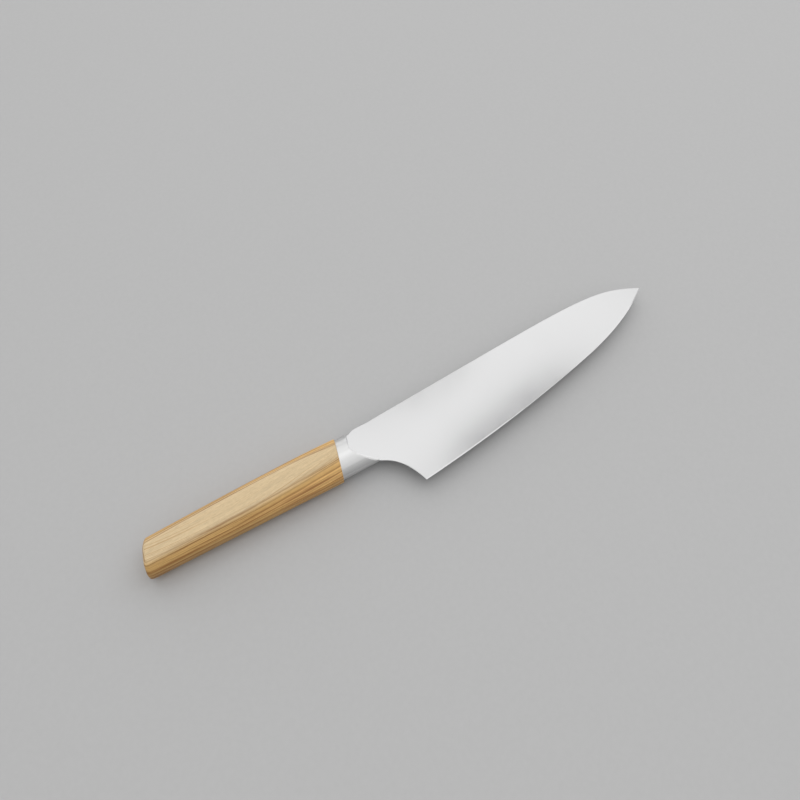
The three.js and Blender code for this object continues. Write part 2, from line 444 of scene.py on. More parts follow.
@dataclass(frozen=True)
class LaminatedWood(Finish):
    """Thin layers of pale wood pressed into one block, so that cuts across them show as long lines.

    The layers lie level, lean a little across the handle and bow along it. A broad facet shows the face
    of one layer, and the slanted facets cut through many.
    """

    name: str = "laminated_wood"

    # Colours, the depths at which the cut gives way to the face, and how level each pattern's facets are
    face: Colour = (0.665, 0.508, 0.298, 1.0)
    cut: Colour = (0.78, 0.48, 0.168, 1.0)
    line: Colour = (0.30, 0.13, 0.03, 1.0)
    figure: Colour = (0.46, 0.25, 0.085, 1.0)
    heart: Colour = (0.45, 0.215, 0.075, 1.0)
    skin: Point = (4.9, 7.5)
    level: Point = (0.88, 0.97)
    slant: Point = (0.85, 0.975)

    # How the layers lie
    layer: float = 1.2
    tilt: float = 0.07
    bow: float = 3.4
    bow_middle: float = -85.0
    bow_run: float = 45.0
    wander: Grain = Grain((0.018, 0.12, 0.12))
    waver: float = 0.4

    # Grain of the wood, and how much darker and lighter each kind makes it, with painted shade low on the
    # sides
    fibre: Grain = Grain((0.07, 2.6, 2.6), detail=4.0)
    streak: Grain = Grain((0.02, 0.55, 0.9), (40.0, 3.0, 9.0), 3.0)
    fleck: Grain = Grain((0.4, 2.0, 2.0), (8.0, 2.0, 6.0), 3.0, 0.65)
    grain_range: Point = (0.28, 0.72)
    fibre_tone: Point = (0.94, 1.05)
    streak_tone: Point = (0.95, 1.04)
    fleck_tone: Point = (0.93, 1.06)
    layer_tone: Point = (0.92, 1.05)
    # Painted shade: the sides darken below the level facet, more so towards the butt
    painted_shade_x: Point = (-105.0, -40.0)
    painted_shade_tone: Point = (0.74, 1.0)
    painted_shade_skin: Point = (2.0, 6.6)
    pores: Grain = Grain((0.35, 6.0, 6.0), detail=1.0)
    pore_range: Point = (0.64, 0.74)
    pore_strength: float = 0.25

    # Lines where the facets cut through the layers
    stripe_core: float = 0.3
    stripe_strength: Point = (0.35, 0.95)
    first_line: float = 6.9
    line_width: float = 0.34
    growth: Grain = Grain((0.009, 0.0, 1.0), detail=4.0, roughness=0.6)
    growth_range: Point = (0.51, 0.44)
    growth_strength: float = 0.9
    fading: Grain = Grain((0.03, 0.5, 0.5), (5.0, 1.0, 2.0))
    fading_range: Point = (0.3, 0.6)
    fading_least: float = 0.7

    # Fine lines on the face of a layer
    figure_pitch: float = 1.5
    figure_width: float = 0.42
    figure_spread: Grain = Grain((0.0021, 0.35, 0.0))
    figure_range: Point = (0.3, 0.7)
    figure_shift: Point = (-1.3, 1.3)
    figure_waver: float = 2.0
    figure_y: Point = (-8.4, -11.6)
    figure_x: Point = (-122.0, -92.0)
    figure_most: float = 0.75
    figure_least: float = 0.08

    # Streak of heartwood
    heart_x: Point = (-72.0, -44.0)
    heart_core: float = 0.3
    heart_skin: Point = (3.2, 4.6)
    heart_range: Point = (0.45, 0.55)
    heart_strength: float = 0.5

    # Surface
    gloss_range: Point = (0.2, 0.8)
    roughness: Point = (0.4, 0.52)
    line_relief: float = 0.5
    relief: float = 0.25
    relief_depth: float = 0.06 * MM

    def sockets(self, graph: Graph, drawn: Socket) -> dict[str, Feed]:
        """Works out the layers, then draws their lines and figure over the toned wood.

        Args:
            graph: The material's graph.
            drawn: The place on the surface in the drawing's millimetres.

        Returns:
            What each socket of the shader gets.
        """
        axes = graph.node("SeparateXYZ", {0: drawn}).outputs
        across = self._across(graph, axes)
        wander = graph.math("SUBTRACT", self.wander.noise(graph, drawn), 0.5)
        warp = graph.math("MULTIPLY", wander, 2 * self.waver)
        shift = graph.math("ADD", graph.math("MULTIPLY", across, self.tilt), warp)
        depth = graph.math("ADD", axes["Z"], shift)
        skin = graph.math("ADD", graph.math("ABSOLUTE", axes["Z"]), shift)
        grains = [grain.noise(graph, drawn) for grain in (self.fibre, self.streak, self.fleck)]
        fibre, streak, _ = grains
        pore = graph.between(self.pores.noise(graph, drawn), *self.pore_range)
        normal = graph.node("TexCoord", {}).outputs["Normal"]
        facing = graph.math("ABSOLUTE", graph.node("SeparateXYZ", {0: normal}).outputs["Z"])
        slanted = graph.between(facing, *self.slant, 1.0, 0.0)
        line = graph.math("MULTIPLY", slanted, self._cut_lines(graph, drawn, depth, axes["X"]))
        level = graph.between(facing, *self.level)
        figure = graph.math("MULTIPLY", level, self._figure(graph, across, warp, axes))
        ground = graph.blend(graph.between(skin, *self.skin), self.cut, self.face)
        ground = graph.blend(self._heart(graph, axes["X"], skin, streak), ground, self.heart)
        tone = self._tone(graph, depth, skin, axes["X"], grains)
        toned = graph.node("VectorMath", {0: ground, "Scale": tone}, operation="SCALE").outputs[0]
        inked = graph.blend(line, graph.blend(figure, toned, self.figure), self.line)
        sunk = graph.math("ADD", graph.math("MULTIPLY", line, self.line_relief), pore)
        return {
            "Base Color": graph.blend(graph.math("MULTIPLY", pore, self.pore_strength), inked, self.line),
            "Roughness": graph.between(fibre, *self.gloss_range, *self.roughness),
            "Normal": graph.bump(graph.math("SUBTRACT", fibre, sunk), self.relief, self.relief_depth),
        }

    def _across(self, graph: Graph, axes: Axes) -> Socket:
        """Measures across a facet along lines that bow over the handle's length.

        Args:
            graph: The material's graph.
            axes: The place in millimetres, axis by axis.

        Returns:
            The measure in millimetres.
        """
        away = graph.math("DIVIDE", graph.math("SUBTRACT", axes["X"], self.bow_middle), self.bow_run)
        rise = graph.math("MULTIPLY", graph.math("MULTIPLY", away, away), self.bow)
        return graph.math("SUBTRACT", axes["Y"], rise)

    def _tone(self, graph: Graph, depth: Socket, skin: Socket, x: Socket, grains: list[Socket]) -> Socket:
        """Works out how much lighter or darker than its colour the wood is, with painted shade low on its
        sides that deepens towards the butt.

        Args:
            graph: The material's graph.
            depth: Depth through the layers.
            skin: Depth from the middle layer out to either side.
            x: Place along the knife.
            grains: Noise of the fibres, the streaks and the flecks.

        Returns:
            The factor.
        """
        counted = graph.math("FLOOR", graph.math("DIVIDE", depth, self.layer))
        tone = graph.between(graph.chance(counted), 0.0, 1.0, *self.layer_tone)
        for grain, tones in zip(grains, (self.fibre_tone, self.streak_tone, self.fleck_tone)):
            tone = graph.math("MULTIPLY", tone, graph.between(grain, *self.grain_range, *tones))
        # Painted shade: darker deep below the level facet, and more so towards the butt
        deep = graph.between(x, *self.painted_shade_x, *self.painted_shade_tone)
        return graph.math("MULTIPLY", tone, graph.between(skin, *self.painted_shade_skin, deep, 1.0))

    def _stripes(self, graph: Graph, place: Socket, pitch: float, width: float) -> Socket:
        """Draws even stripes, each of its own strength.

        Args:
            graph: The material's graph.
            place: The measure that the stripes are counted along.
            pitch: Distance between stripes.
            width: Distance from a stripe's middle to where it has faded.

        Returns:
            The strength from 0 to 1.
        """
        counted = graph.math("DIVIDE", place, pitch)
        nearest = graph.math("ROUND", counted)
        off = graph.math("ABSOLUTE", graph.math("SUBTRACT", counted, nearest))
        stripe = graph.between(off, self.stripe_core * width / pitch, width / pitch, 1.0, 0.0)
        strength = graph.between(graph.chance(nearest), 0.0, 1.0, *self.stripe_strength)
        return graph.math("MULTIPLY", stripe, strength)

    def _cut_lines(self, graph: Graph, drawn: Socket, depth: Socket, x: Socket) -> Socket:
        """Draws the lines between the layers, with weaker ones of the wood's own growth.

        Args:
            graph: The material's graph.
            drawn: The place in millimetres.
            depth: Depth through the layers.
            x: Place along the knife.

        Returns:
            The strength from 0 to 1.
        """
        place = graph.math("SUBTRACT", depth, self.first_line)
        glue = self._stripes(graph, place, self.layer, self.line_width)
        ring = self.growth.noise(graph, graph.node("CombineXYZ", {"X": x, "Z": depth}).outputs[0])
        growth = graph.between(ring, *self.growth_range, 0.0, self.growth_strength)
        fading = self.fading.noise(graph, drawn)
        strength = graph.between(fading, *self.fading_range, self.fading_least, 1.0)
        return graph.math("MULTIPLY", graph.math("MAXIMUM", glue, growth), strength)

    def _figure(self, graph: Graph, across: Socket, warp: Socket, axes: Axes) -> Socket:
        """Draws the fine lines on the face of a layer, most of them near its low side and at the butt.

        Args:
            graph: The material's graph.
            across: Place across the facet.
            warp: How far the layers waver.
            axes: The place in millimetres, axis by axis.

        Returns:
            The strength from 0 to 1.
        """
        flat = graph.node("CombineXYZ", {"X": axes["X"], "Y": across}).outputs[0]
        spread = self.figure_spread.noise(graph, flat)
        uneven = graph.between(spread, *self.figure_range, *self.figure_shift)
        wavy = graph.math("MULTIPLY", warp, self.figure_waver)
        place = graph.math("ADD", graph.math("ADD", across, uneven), wavy)
        stripes = self._stripes(graph, place, self.figure_pitch, self.figure_width)
        near_ridge = graph.between(axes["Y"], *self.figure_y, 0.0, self.figure_most)
        near_butt = graph.between(axes["X"], *self.figure_x, self.figure_most, self.figure_least)
        return graph.math("MULTIPLY", stripes, graph.math("MAXIMUM", near_ridge, near_butt))

    def _heart(self, graph: Graph, x: Socket, skin: Socket, streak: Socket) -> Socket:
        """Draws a darker streak of heartwood low on the front half.

        Args:
            graph: The material's graph.
            x: Place along the knife.
            skin: Depth from the middle layer out to either side.
            streak: Noise that breaks the patch into streaks.

        Returns:
            The strength from 0 to 1.
        """
        rear, front = self.heart_x
        half = (front - rear) / 2
        away = graph.math("ABSOLUTE", graph.math("SUBTRACT", x, (rear + front) / 2))
        along = graph.between(away, self.heart_core * half, half, 1.0, 0.0)
        patch = graph.math("MULTIPLY", along, graph.between(skin, *self.heart_skin, 1.0, 0.0))
        streaks = graph.between(streak, *self.heart_range, 0.0, self.heart_strength)
        return graph.math("MULTIPLY", patch, streaks)


@dataclass(frozen=True)
class CuredResin(Finish):
    """Amber adhesive with trapped bubbles, as it sets inside the bore."""

    name: str = "cured_resin"
    dark: Colour = (0.30, 0.19, 0.06, 1.0)
    light: Colour = (0.52, 0.37, 0.15, 1.0)
    cloud_scale: float = 0.25
    cloud_detail: float = 4.0
    cloud_range: Point = (0.3, 0.7)
    roughness: Point = (0.45, 0.7)
    bubble_scale: float = 1.1
    bubble_range: Point = (0.08, 0.25)
    bubble_strength: float = 0.3
    bubble_depth: float = 0.1 * MM

    def sockets(self, graph: Graph, drawn: Socket) -> dict[str, Feed]:
        """Clouds the resin and pits it with bubbles.

        Args:
            graph: The material's graph.
            drawn: The place on the surface in the drawing's millimetres.

        Returns:
            What each socket of the shader gets.
        """
        cloud = graph.noise(drawn, self.cloud_scale, self.cloud_detail)
        feeds = {"Vector": drawn, "Scale": self.bubble_scale}
        bubble = graph.node("TexVoronoi", feeds).outputs["Distance"]
        pit = graph.between(bubble, *self.bubble_range)
        return {
            "Base Color": graph.blend(cloud, self.dark, self.light),
            "Roughness": graph.between(cloud, *self.cloud_range, *self.roughness),
            "Normal": graph.bump(pit, self.bubble_strength, self.bubble_depth),
        }


@dataclass(frozen=True)
class PaleFloor(Finish):
    """Matt studio paper."""

    name: str = "studio_paper"
    dark: Colour = (0.505, 0.505, 0.505, 1.0)
    light: Colour = (0.535, 0.535, 0.535, 1.0)
    tooth_scale: float = 0.4
    tooth_detail: float = 4.0
    roughness: float = 0.9
    shine: float = 0.1

    def sockets(self, graph: Graph, drawn: Socket) -> dict[str, Feed]:
        """Gives the paper its tooth.

        Args:
            graph: The material's graph.
            drawn: The place on the surface in the drawing's millimetres.

        Returns:
            What each socket of the shader gets.
        """
        tooth = graph.noise(drawn, self.tooth_scale, self.tooth_detail)
        return {
            "Base Color": graph.blend(tooth, self.dark, self.light),
            "Roughness": self.roughness,
            "Specular IOR Level": self.shine,
        }


BLADE_STEEL = Steel(
    name="blade_steel",
    dark=(0.575, 0.575, 0.577, 1.0),
    light=(0.605, 0.605, 0.607, 1.0),
    smooth=0.15,
    rough=0.22,
    lay=Lay.ACROSS,
    line_depth=0.002 * MM,
)
BOLSTER_STEEL = Steel(
    name="bolster_steel",
    dark=(0.64, 0.64, 0.637, 1.0),
    light=(0.68, 0.68, 0.677, 1.0),
    smooth=0.27,
    rough=0.36,
    lay=Lay.ALONG,
    line_depth=0.003 * MM,
)


# Sub-assemblies


@dataclass
class Blade:
    """One sheet of steel that is blade, neck and stick tang."""

    heel: Point = (0.0, -44.9)
    flat_pull: Point = (60.0, -43.1)
    belly_start: Point = (120.0, -33.4)
    belly_pull: Point = (155.2, -27.4)
    tip: Point = (178.0, -13.75)
    spine_pulls: tuple[Point, Point] = ((158.7, -2.0), (149.0, 0.0))
    spine_front: Point = (80.0, 0.0)
    spine_rear: Point = (-5.0, 0.0)
    neck_crest: Point = (-15.0, 0.48)
    neck_swell: float = 4.0
    neck_top: Point = (-20.9, -0.9)
    neck_drop: float = 2.4
    choil_top: Point = (-14.8, -22.1)
    choil_pulls: tuple[Point, Point] = ((-10.2, -25.3), (-3.8, -27.1))
    spine_half: float = 0.95
    flank_taper: float = 0.0172
    distal_taper: float = 0.0022
    bulge: float = 0.25
    swell_run: float = 30.0
    bevel_width: float = 0.5
    edge_half: float = 0.03
    lip: float = 0.5
    rim_rows: tuple[tuple[float, float, float], ...] = ((0.4, 0.12, 0.8), (0.6, 0.3, 1.0))
    tang_front: float = -27.0
    tang_end: float = -104.0
    tang_half: Point = (6.2, 3.4)
    shoulder: float = 2.4
    curve_steps: int = 60
    cut_pitch: float = 5.0
    cut_slack: float = 1e-4
    piece: bpy.types.Object | None = None

    def flank_half(self, place: Vector) -> float:
        """Half the thickness between the flanks at a place."""
        return self.spine_half - self.distal_taper * place.x + self.flank_taper * place.y

    def edge_line(self) -> list[Vector]:
        """Draws the cutting edge: a long flat stretch and a rounder belly.

        Returns:
            The points from heel to tip.
        """
        flat = bezier([self.heel, self.flat_pull, self.belly_start], self.curve_steps)
        belly = bezier([self.belly_start, self.belly_pull, self.tip], self.curve_steps)
        return flat + belly[1:]

    def back_line(self, handle: "Handle") -> list[Vector]:
        """Draws the rest of the outline: along the spine, round the tang and back to the heel.

        Args:
            handle: The handle, whose axis the tang follows.

        Returns:
            The points between tip and heel, without these two.
        """
        rear_x, rear_y = self.spine_rear
        crest_x, crest_y = self.neck_crest
        top_x, top_y = self.neck_top
        low_x, low_y = self.choil_top
        steps = self.curve_steps // 3
        spine = bezier([self.tip, *self.spine_pulls, self.spine_front], self.curve_steps)
        swell = [(rear_x - self.neck_swell, rear_y), (crest_x + self.neck_swell, crest_y)]
        drop = [(crest_x - self.neck_drop, crest_y), (top_x + self.neck_drop, top_y)]
        neck = bezier([self.spine_rear, *swell, self.neck_crest], steps)
        neck += bezier([self.neck_crest, *drop, self.neck_top], steps)[1:]
        half_root, half_end = self.tang_half
        tang = [
            (top_x - self.shoulder, top_y - self.shoulder / 3),
            (top_x - self.shoulder, top_y - self.shoulder),
            (self.tang_front, handle.axis(self.tang_front) + half_root),
            (self.tang_end, handle.axis(self.tang_end) + half_end),
            (self.tang_end, handle.axis(self.tang_end) - half_end),
            (self.tang_front, handle.axis(self.tang_front) - half_root),
            (low_x - self.shoulder, low_y + self.shoulder),
        ]
        choil = bezier([self.choil_top, *self.choil_pulls, self.heel], self.curve_steps)
        return spine[1:] + neck + [Vector((x, y, 0.0)) for x, y in tang] + choil[:-1]

    def depth_at(self, x: float) -> float:
        """Measures how deep the blade is below the spine.

        Args:
            x: Place along the spine.

        Returns:
            The depth there.
        """
        line = self.edge_line()
        for start, end in zip(line, line[1:]):
            if start.x <= x <= end.x:
                return -start.y + (start.y - end.y) * (x - start.x) / (end.x - start.x)
        return -self.heel[1] if x < 0 else -self.tip[1]

    def swell(self, place: Vector) -> float:
        """Works out how far the flank is ground proud of a flat, which gives it a soft convex shine.

        Args:
            place: Place on the flank.

        Returns:
            The height above the flat.
        """
        depth = self.depth_at(place.x)
        down = min(max(-place.y / depth, 0.0), 1.0)
        arch = 4 * down * (1 - down)
        return self.bulge * smooth(place.x / self.swell_run) * (depth / -self.heel[1]) ** 2 * arch

    def build(self, datum: Datum, handle: "Handle") -> None:
        """Draws the outline, sets its rims in, cuts its flank into a grid and swells its two sides.

        Args:
            datum: The drawing's zero.
            handle: The handle that the tang runs down.
        """
        bm = bmesh.new()
        edge, back = self.edge_line(), self.back_line(handle)
        sheet = bm.faces.new([bm.verts.new(place) for place in edge + back])
        sheet.normal_update()
        sharp = {tuple(place) for place in edge}
        heights = {place: self.edge_half for place in sharp}
        heights.update({tuple(place): self.lip * self.flank_half(place) for place in back})
        for share, width, lift in self.rim_rows:
            self._inset(bm, sheet, heights, sharp, share, width, lift)
        flank = self._grid(bm, sheet)
        lower = {}
        for vert in bm.verts:
            proud = self.swell(vert.co) if flank.issuperset(vert.link_faces) else 0.0
            lower[vert] = heights.get(tuple(vert.co), self.flank_half(vert.co) + proud)
        made = bmesh.ops.extrude_face_region(bm, geom=bm.faces[:])["geom"]
        upper = {tuple(v.co): v for v in made if isinstance(v, bmesh.types.BMVert)}
        for vert, height in lower.items():
            twin = upper[tuple(vert.co)]
            twin.co.z, vert.co.z = height, -height
        self.piece = datum.place(bm, "knife_blade", Shade.CRISP)

    def _inset(
        self,
        bm: bmesh.types.BMesh,
        sheet: bmesh.types.BMFace,
        heights: dict[tuple[float, ...], float],
        sharp: set[tuple[float, ...]],
        share: float,
        width: float,
        lift: float,
    ) -> None:
        """Sets one more row of the rim in from the outline.

        Args:
            bm: The flat sheet.
            sheet: Its face inside the rim.
            heights: Half the thickness at each place of the rim, which gets the new places.
            sharp: Places that belong to the cutting edge, which get the new ones of that kind.
            share: Part of the edge's bevel that the row takes.
            width: Width of the row where the rim is only eased.
            lift: Part of the full thickness that an eased rim has at the row's inner side.
        """
        step = self.bevel_width * share
        bmesh.ops.inset_region(bm, faces=[sheet], thickness=step, use_boundary=True, use_even_offset=True)
        inside = set(sheet.edges)
        for inner in sheet.verts:
            spoke = next(e for e in inner.link_edges if e not in inside)
            outer = spoke.other_vert(inner)
            if tuple(outer.co) in sharp:
                sharp.add(tuple(inner.co))
                below = heights[tuple(outer.co)]
                height = below + (self.flank_half(inner.co) - below) * (1.0 if lift == 1.0 else share)
            else:
                inner.co = outer.co.lerp(inner.co, width / step)
                height = lift * self.flank_half(inner.co)
            heights[tuple(inner.co)] = height

    def _grid(self, bm: bmesh.types.BMesh, sheet: bmesh.types.BMFace) -> set[bmesh.types.BMFace]:
        """Cuts the flank across and along, so that it can swell.

        Args:
            bm: The flat sheet.
            sheet: Its face inside the rim.

        Returns:
            The faces that the flank was cut into.
        """
        pitch = self.cut_pitch
        along_x, along_y = Vector((1.0, 0.0, 0.0)), Vector((0.0, 1.0, 0.0))
        first, last = int(self.tang_front / pitch), int(self.tip[0] / pitch)
        cuts = [(along_x * i * pitch, along_x) for i in range(first, last + 1)]
        cuts += [(-along_y * i * pitch, along_y) for i in range(1, int(-self.heel[1] / pitch) + 1)]
        flank = [sheet]
        for place, normal in cuts:
            rims = dict.fromkeys(part for face in flank for part in (*face.edges, *face.verts))
            cut = bmesh.ops.bisect_plane(
                bm, geom=[*flank, *rims], dist=self.cut_slack, plane_co=place, plane_no=normal
            )
            flank = [item for item in cut["geom"] if isinstance(item, bmesh.types.BMFace)]
        return set(flank)

    def dress(self, datum: Datum) -> None:
        """Gives the blade its finish and its place on the body.

        Args:
            datum: The drawing's zero.
        """
        self.piece.data.materials.append(BLADE_STEEL.material(datum))
        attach(self.piece, BODY)
        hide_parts("blade")


@dataclass
class Handle:
    """An octagonal block with slanted ends, a little barrelled, bored for the tang."""

    stations: tuple[float, ...] = (-31.4, -45.0, -60.0, -95.0, -135.15)
    top_line: tuple[float, ...] = (0.2, 1.4, 2.4, 4.0, 5.3)
    upper_ridge: tuple[float, ...] = (-5.6, -4.0, -2.7, -1.1, -0.2)
    lower_ridge: tuple[float, ...] = (-12.0, -12.2, -12.2, -11.0, -9.2)
    bottom_line: tuple[float, ...] = (-21.8, -20.8, -19.6, -16.9, -13.8)
    half: float = 8.1
    top_half: float = 3.2
    bottom_half: float = 2.8
    ease: Point = (1.1, 2.2)
    ease_steps: int = 6
    slant: float = math.tan(math.radians(18.5))
    axis_at_heel: float = -13.15
    axis_rise: float = -0.066
    front_round: float = 0.35
    butt_round: float = 2.0
    butt_crown: tuple[Point, ...] = ((4.0, 0.22), (6.0, 0.4))
    rows: int = 44
    round_steps: int = 7
    bore_half: Point = (7.9, 2.65)
    bore_end: float = -108.0
    bore_taper: float = 0.6
    piece: bpy.types.Object | None = None

    @property
    def lines(self) -> tuple[tuple[float, ...], ...]:
        """Y of the top, the upper ridge, the lower ridge and the bottom at each station."""
        return self.top_line, self.upper_ridge, self.lower_ridge, self.bottom_line

    def axis(self, x: float) -> float:
        """Y of the handle's axis at a place along the knife."""
        return self.axis_at_heel + self.axis_rise * x

    def section(self, share: float) -> list[Vector]:
        """One slanted octagonal section with eased ridges.

        Args:
            share: How far along the handle, from 0 at the front to 1 at the butt.

        Returns:
            The points round the section.
        """
        lines = [spline(line, share) for line in self.lines]
        ease = self.ease[0] + (self.ease[1] - self.ease[0]) * share
        return self.octagon(spline(self.stations, share), lines, ((ease, ease),) * len(lines))

    def octagon(self, x: float, lines: Sequence[float], eases: Sequence[Point]) -> list[Vector]:
        """An eased octagon in a plane that leans with the ends.

        Args:
            x: Where the plane crosses the handle's axis.
            lines: Y of the top, upper ridge, lower ridge and bottom.
            eases: How far from each of these four ridges its rounding starts, above it and below it.

        Returns:
            The points round the octagon.
        """
        widths = (self.top_half, self.half, self.half, self.bottom_half)
        right = list(zip(lines, widths))
        corners = [Vector(c) for c in right + [(y, -z) for y, z in reversed(right)]]
        ring = []
        round_about = [*eases, *((below, above) for above, below in reversed(eases))]
        for i, (corner, (lead, trail)) in enumerate(zip(corners, round_about)):
            before = corner + (corners[i - 1] - corner).normalized() * lead
            after = corner + (corners[(i + 1) % len(corners)] - corner).normalized() * trail
            for t in shares(self.ease_steps):
                ring.append(before.lerp(corner, t).lerp(corner.lerp(after, t), t))
        return [Vector((x + self.slant * (y - self.axis(x)), y, z)) for y, z in ring]

    @staticmethod
    def shrunk(ring: Sequence[Vector], inset: float, advance: float) -> list[Vector]:
        """A section drawn in towards its own middle and moved along the knife.

        Args:
            ring: The points round the section.
            inset: How far each point moves towards the middle.
            advance: How far the section moves towards the tip.

        Returns:
            The points of the new section.
        """
        middle = sum(ring, Vector()) / len(ring)
        step = Vector((advance, 0.0, 0.0))
        return [place + (middle - place).normalized() * inset + step for place in ring]

    def build(self, datum: Datum) -> None:
        """Sweeps the sections from the front to the butt and bores the block.

        Args:
            datum: The drawing's zero.
        """
        bm = bmesh.new()
        front, butt = self.section(0.0), self.section(1.0)
        turn = [math.radians(90) * t for t in shares(self.round_steps)]
        skin = Sweep(bm, self.shrunk(front, self.front_round, 0.0), closed=True)
        rim = skin.edges
        for angle in turn[1:]:
            inset = self.front_round * (1 - math.sin(angle))
            back = self.front_round * (1 - math.cos(angle))
            skin.extend(self.shrunk(front, inset, -back))
        for share in shares(self.rows)[1:-1]:
            skin.extend(self.section(share))
        for angle in turn:
            inset = self.butt_round * (1 - math.cos(angle))
            ahead = self.butt_round * (1 - math.sin(angle))
            skin.extend(self.shrunk(butt, inset, ahead))
        for inset, rise in self.butt_crown:
            skin.extend(self.shrunk(butt, inset, -rise))
        bmesh.ops.edgeloop_fill(bm, edges=skin.edges)
        self._bore(bm, rim)
        self.piece = datum.place(bm, "wood_handle", Shade.SOFT)

    def _bore(self, bm: bmesh.types.BMesh, rim: list[bmesh.types.BMEdge]) -> None:
        """Opens the front face and sinks the bore.

        Args:
            bm: The handle's mesh.
            rim: The edges round its front face.
        """
        tall, wide = self.bore_half
        corners = [(tall, wide), (-tall, wide), (-tall, -wide), (tall, -wide)]
        start = self.stations[0]
        mouth = [Vector((start + self.slant * y, self.axis(start) + y, z)) for y, z in corners]
        wall = Sweep(bm, mouth, closed=True)
        bmesh.ops.bridge_loops(bm, edges=rim + wall.edges)
        deep, middle = self.bore_end, self.axis(self.bore_end)
        wall.extend(Vector((deep, middle + y * self.bore_taper, z)) for y, z in corners)
        bmesh.ops.edgeloop_fill(bm, edges=wall.edges)

    def dress(self, datum: Datum) -> None:
        """Gives the handle its finish and its place on the body.

        Args:
            datum: The drawing's zero.
        """
        self.piece.data.materials.append(LaminatedWood().material(datum))
        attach(self.piece, BODY)
        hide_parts("handle")


@dataclass
class Bolster:
    """A steel collar that carries the handle's section forward and is scooped out to the blade."""

    step: float = 0.8
    seat: float = 0.02
    eases: tuple[Point, ...] = ((1.0, 1.2), (5.4, 3.6), (2.2, 4.6), (5.4, 2.0))
    scoop: tuple[Point, ...] = ((-19.5, 3.0), (-24.9, -14.1), (-28.7, -8.3), (-11.4, -27.0))
    foot_radius: Point = (0.25, 2.2)
    rim_round: Point = (0.08, 0.8)
    rim_share: float = 0.4
    change: Point = (0.38, 0.65)
    draft: float = 0.08
    spacing: float = 0.6
    tube_rows: int = 8
    rim_rows: int = 6
    wall_rows: int = 22
    sunk_rows: int = 3
    search_steps: int = 40
    piece: bpy.types.Object | None = None

    def along(self, v: float, ends: Point) -> float:
        """Works out a size that changes smoothly from the spine's end of the scoop to the choil's.

        Args:
            v: How far down the scoop's curve, from 0 at the spine to 1 at the choil.
            ends: The size at these two ends.

        Returns:
            The size there.
        """
        low, high = self.change
        return ends[0] + (ends[1] - ends[0]) * smooth((v - low) / (high - low))

    def scoop_line(self, v: float) -> tuple[Vector, Vector]:
        """The scoop's curve seen from above.

        Args:
            v: How far down the curve, from 0 at the spine to 1 at the choil.

        Returns:
            The place there and the direction that the scooped face looks in.
        """
        a, b, c, d = (Vector((x, y, 0.0)) for x, y in self.scoop)
        u = 1 - v
        run = ((b - a) * u * u + (c - b) * 2 * u * v + (d - c) * v * v).normalized()
        return a * u**3 + b * 3 * u * u * v + c * 3 * u * v * v + d * v**3, Vector((-run.y, run.x, 0.0))

    def landing(self, v: float, blade: Blade) -> float:
        """Height at which the scooped face runs out on the blade."""
        place, forward = self.scoop_line(v)
        return blade.flank_half(place + forward * self.along(v, self.foot_radius))

    def scoop_at(self, v: float, height: float, blade: Blade) -> Vector:
        """A place on the scooped face.

        Args:
            v: How far down the scoop's curve, from 0 at the spine to 1 at the choil.
            height: Height above the blade's mid-thickness.
            blade: The blade that the face runs out on.

        Returns:
            The place. Near the blade the face runs out in a round foot.
        """
        place, forward = self.scoop_line(v)
        radius = self.along(v, self.foot_radius)
        above = max(height - self.landing(v, blade), 0.0)
        rise = min(above, radius)
        foot = radius - math.sqrt(radius**2 - (radius - rise) ** 2)
        place += forward * (foot - self.draft * (above - rise))
        place.z = height
        return place

    def half_ring(self, handle: Handle) -> list[Vector]:
        """The upper half of the collar's rear section, from the middle of its top to that of its bottom.

        Args:
            handle: The handle whose front section the collar follows.

        Returns:
            The points, with some spread over each facet.
        """
        full = handle.octagon(handle.stations[0], [line[0] for line in handle.lines], self.eases)
        ring = handle.shrunk(full, self.step, self.seat)
        upper = [place for place in ring if place.z > 0]
        ends = [Vector((p.x, p.y, 0.0)) for p in (upper[0], upper[-1])]
        chain = [ends[0], *upper, ends[1]]
        spread = []
        for start, end in zip(chain, chain[1:]):
            count = max(1, round((end - start).length / self.spacing))
            spread += [start.lerp(end, i / count) for i in range(count)]
        return spread + [chain[-1]]

    def rim_at(self, rear: Vector, blade: Blade, handle: Handle) -> float:
        """Finds where a line along the collar meets the scooped face.

        Args:
            rear: Where the line starts at the rear.
            blade: The blade that the face runs out on.
            handle: The handle, whose axis the line follows.

        Returns:
            How far down the scoop's curve the two meet.
        """
        low, high = 0.0, 1.0
        for _ in range(self.search_steps):
            v = (low + high) / 2
            place = self.scoop_at(v, rear.z, blade)
            above = place.y - (rear.y + handle.axis_rise * (place.x - rear.x))
            low, high = (v, high) if above > 0 else (low, v)
        return (low + high) / 2

    def column(self, rear: Vector, v: float, v_foot: float, blade: Blade) -> list[Vector]:
        """One line of the collar: along its side, over the rounded rim and down the scooped face.

        Args:
            rear: Where the line starts at the rear.
            v: Place of the rim on the scoop's curve.
            v_foot: Place on that curve where the line ends, in the middle of the blade.
            blade: The blade that the face runs out on.

        Returns:
            The points of the line.
        """
        share = min(self.landing(v, blade) / rear.z, 1.0) if rear.z else 1.0
        v_land = v_foot + (v - v_foot) * share
        land = min(self.landing(v_land, blade), rear.z)

        def face(t: float) -> Vector:
            """A place on the scooped face, from its rim at 0 to where it lands on the blade at 1."""
            return self.scoop_at(v + (v_land - v) * t, rear.z + (land - rear.z) * t, blade)

        def sunk(t: float) -> Vector:
            """A place inside the blade, from its flank at 0 to its mid-thickness at 1."""
            return self.scoop_at(v_land + (v_foot - v_land) * t, land * (1 - t), blade)

